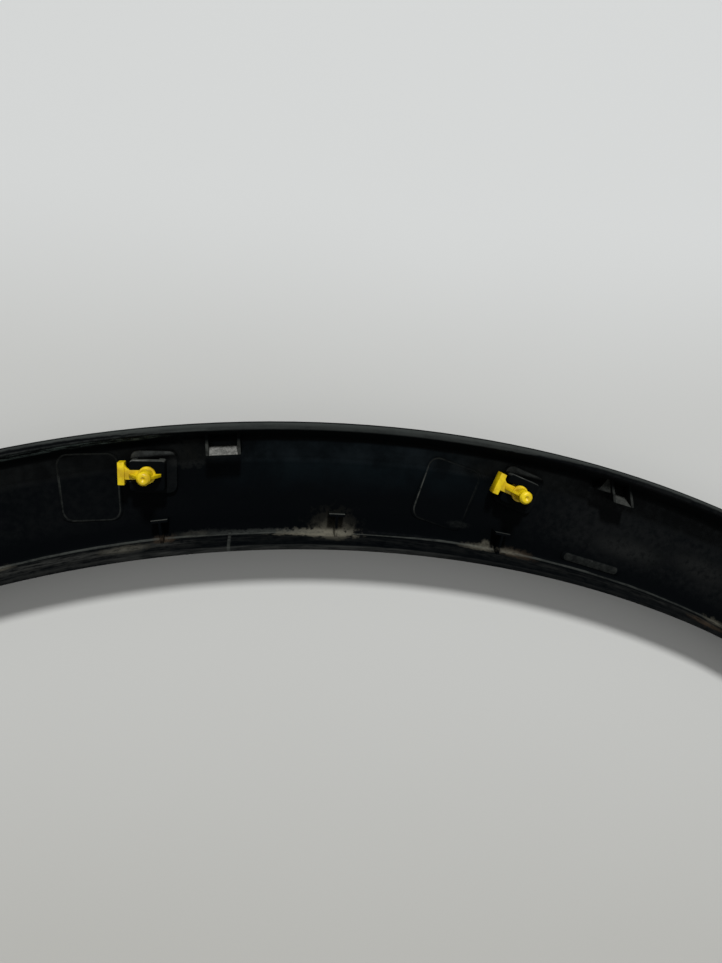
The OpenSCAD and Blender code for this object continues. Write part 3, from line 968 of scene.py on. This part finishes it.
# The raised lines are worn pale, most of all where the photo shows it
def coatLines(p):
    worn = p.ramp(p.fine + p.grit * 0.4, 0.5, 0.85, 0.12, 1) * p.onBack
    # painted light: the left line is painted lighter towards the rim, where the rim's shadow falls
    left = padLine(p, pad["leftS"], pad["leftU"]) * p.ramp(p.u, 12, 26, 1.1, 0.42)
    p.coat(left * worn, black["lineDustAndLight"])
    right = padLine(p, pad["rightS"], pad["rightU"])
    right = right * p.ramp(p.s, 62, 38, 0.1, 1) * p.ramp(p.u, 40, 33, 0.1, 1)
    p.coat(right * worn, black["sideDustAndLight"])


# Light specks, most of them to the right
def coatSpecks(p):
    cells = p.node("TexVoronoi", {}, {"Vector": p.spot, "Scale": black["specks"]})
    specks = p.ramp(cells, 0.09, 0.03) * p.ramp(p.s, 70, 130, 0.25, 1)
    specks = specks * p.band(p.z, 3.1, 3.2, 4.6, 5)
    p.coat(specks * p.ramp(p.fine, 0.5, 0.62), black["lineDustAndLight"])


def paintMoulding():
    p = Paint(bpy.data.materials.new("black_plastic_dusty_painted_light"), black["deep"])
    readPlaces(p)
    for lay in (coatPlastic, coatRim, coatCrease, coatFlange, coatPatches, coatSides, coatTops,
                coatScuffs, coatLines, coatSpecks):
        lay(p)
    rough = p.ramp(p.fine + p.cloud * 0.5, 0.3, 1.1, *black["roughness"])
    grain = p.noise(p.spot, *black["smallGrain"]) + p.noise(p.spot, *black["broadGrain"]) * 2.5
    return p.finish(rough, black["specular"], grain, black["grain"], black["grainDepth"])


# The face that shows on the car: grained and clean
outside = {
    "colour": (0.0125, 0.0128, 0.0132),
    "faded": (0.0200, 0.0200, 0.0200),
    "roughness": (0.34, 0.56),
    "specular": 0.35,
    "grain": 0.35,
    "grainDepth": 0.0002,
    "cloud": (0.02, 4, 0.6),
    "fine": (0.9, 4, 0.6),
    "cells": 1.3,
    "within": 0.12,  # faces this near to the channel's outer outline take this plastic
    "rimDrop": 0.4,
}


def paintOutside():
    p = Paint(bpy.data.materials.new("black_plastic_grained"), outside["colour"])
    spot = p.scaled(p.node("TexCoord", output="Object"), 1 / mm)
    cloud, fine = p.noise(spot, *outside["cloud"]), p.noise(spot, *outside["fine"])
    cells = p.node("TexVoronoi", {"feature": "SMOOTH_F1"},
                   {"Vector": spot, "Scale": outside["cells"], "Smoothness": 0.6})
    p.coat(p.ramp(cloud + fine * 0.3, 0.5, 0.85), outside["faded"])
    rough = p.ramp(cells + fine * 0.4, 0.2, 0.9, *outside["roughness"])
    return p.finish(rough, outside["specular"], cells + fine * 0.3, outside["grain"],
                    outside["grainDepth"])


outerLine = channelOutline()[0]


# How far a place in u and height is from the channel's outer outline
def fromOutside(place):
    gaps = []
    for start, end in zip(outerLine, outerLine[1:]):
        run = end - start
        along = (place - start).dot(run) / max(run.length_squared, tiny)
        gaps.append((start + run * max(0, min(1, along)) - place).length)
    return min(gaps)


for material in (paintMoulding(), paintOutside()):
    moulding.data.materials.append(material)
for polygon in moulding.data.polygons:
    centre = polygon.center / mm
    place = Vector((measure(centre.x, centre.y)[1], centre.z))
    belowRim = place[1] < channel["rimHeight"] - outside["rimDrop"]
    polygon.material_index = int(belowRim and fromOutside(place) < outside["within"])

# Yellow plastic of the clips
yellow = {
    "bright": (0.72, 0.54, 0.002),
    "deep": (0.44, 0.29, 0.001),
    "grime": (0.12, 0.085, 0.02),
    "roughness": (0.26, 0.49),
    "specular": 0.4,
    "grain": 0.1,
    "grainDepth": 0.0003,
    "cloud": (0.25, 3, 0.5),
    "fine": (1.4, 4, 0.6),
}


def paintClips():
    p = Paint(bpy.data.materials.new("yellow_nylon"), yellow["deep"])
    spot = p.scaled(p.node("TexCoord", output="Object"), 1 / mm)
    cloud, fine = p.noise(spot, *yellow["cloud"]), p.noise(spot, *yellow["fine"])
    p.coat(p.ramp(cloud, 0.3, 0.7), yellow["bright"])
    p.coat(p.ramp(fine + cloud * 0.4, 0.86, 1.05, 0, 0.6), yellow["grime"])
    rough = p.ramp(fine, 0.2, 0.8, *yellow["roughness"])
    return p.finish(rough, yellow["specular"], fine, yellow["grain"], yellow["grainDepth"])


clipPaint = paintClips()
for piece in clips:
    piece.data.materials.append(clipPaint)
print("the materials are mixed")

# What stands for which solid, and what carries it
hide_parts("moulding")
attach(moulding, "root")
for number, piece in enumerate(clips, 1):
    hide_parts("clip_%d" % number)
    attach(piece, "root")

# Table, light and camera
stage = {
    "tableSize": 30,  # metres
    "tableDrop": 0.0001,
    "tableTop": (0.664, 0.678, 0.674),
    "tableBottom": (0.434, 0.432, 0.405),
    "tableRoughness": 0.7,
    "tableSpecular": 0.2,
    "tableCloud": (5, 3, 0.5),
    "lampStrength": 3.28,
    "lampHeight": 41,
    "lampSide": -2,
    "lampWidth": 7,
    "skyStrength": 0.32,
    "backdrop": 0.70,
    "cameraPlace": (-31.5924, 33.5216 + crownTop, 314.499),
    "cameraTurn": (-0.1986, -0.1197, 0.0702),
    "focusPixels": 724,
    "photoWidth": 722,
    "sensorWidth": 36,
    "nearest": 0.005,  # metres
}


# The table is darker towards the bottom of the picture
def paintTable():
    p = Paint(bpy.data.materials.new("pale_table"), stage["tableBottom"])
    spot = p.node("TexCoord", output="Object")
    x, y = p.split(spot)[:2]
    cloud = p.noise(spot, *stage["tableCloud"])
    level = p.ramp(y + cloud * 0.04, -0.14, 0.18, 0, 0.47)
    # painted shade: this ramp darkens the table in a band just above the arch
    level = level + p.ramp(y + cloud * 0.03, 0.215, 0.315, 0, 0.47)
    p.coat(level + p.ramp(x, -0.15, 0.2, 0, 0.06), stage["tableTop"])
    return p.finish(stage["tableRoughness"], stage["tableSpecular"])


tableMesh = bmesh.new()
bmesh.ops.create_grid(tableMesh, x_segments=1, y_segments=1, size=stage["tableSize"] / 2)
bmesh.ops.translate(tableMesh, vec=(0, 0, -stage["tableDrop"]), verts=tableMesh.verts[:])
table = toObject("table", tableMesh)
table.data.materials.append(paintTable())

lamp = bpy.data.objects.new("lamp", bpy.data.lights.new("lamp", "SUN"))
lamp.data.energy = stage["lampStrength"]
lamp.data.angle = radians(stage["lampWidth"])
lamp.rotation_euler = (-radians(90 - stage["lampHeight"]), 0, radians(stage["lampSide"]))
bpy.context.scene.collection.objects.link(lamp)


# The sky lights the object softly, and is pale where the camera or a reflection sees it
def paintSky():
    p = Paint(bpy.data.worlds.new("sky"))
    rays = p.outputs(p.node("LightPath"),
                     ("Is Camera Ray", "Is Glossy Ray", "Is Transmission Ray"))
    seen = p.greater(p.greater(rays[0], rays[1]), rays[2])
    light, pale = [p.node("Background", {}, {"Color": (*colour, 1), "Strength": strength})
                   for colour, strength in (((1, 1, 1), stage["skyStrength"]),
                                            ((stage["backdrop"],) * 3, 1))]
    p.node("OutputWorld", {}, {"Surface": p.node("MixShader", {}, {0: seen, 1: light, 2: pale})})
    return p.owner


bpy.context.scene.world = paintSky()

camera = bpy.data.objects.new("camera", bpy.data.cameras.new("camera"))
camera.location = Vector(stage["cameraPlace"]) * mm
camera.rotation_euler = stage["cameraTurn"]
camera.data.sensor_fit = "HORIZONTAL"
camera.data.sensor_width = stage["sensorWidth"]
camera.data.lens = stage["focusPixels"] / stage["photoWidth"] * stage["sensorWidth"]
camera.data.clip_start = stage["nearest"]
bpy.context.scene.collection.objects.link(camera)
bpy.context.scene.camera = camera
bpy.context.scene.view_settings.view_transform = "Standard"
print("the stage is set")
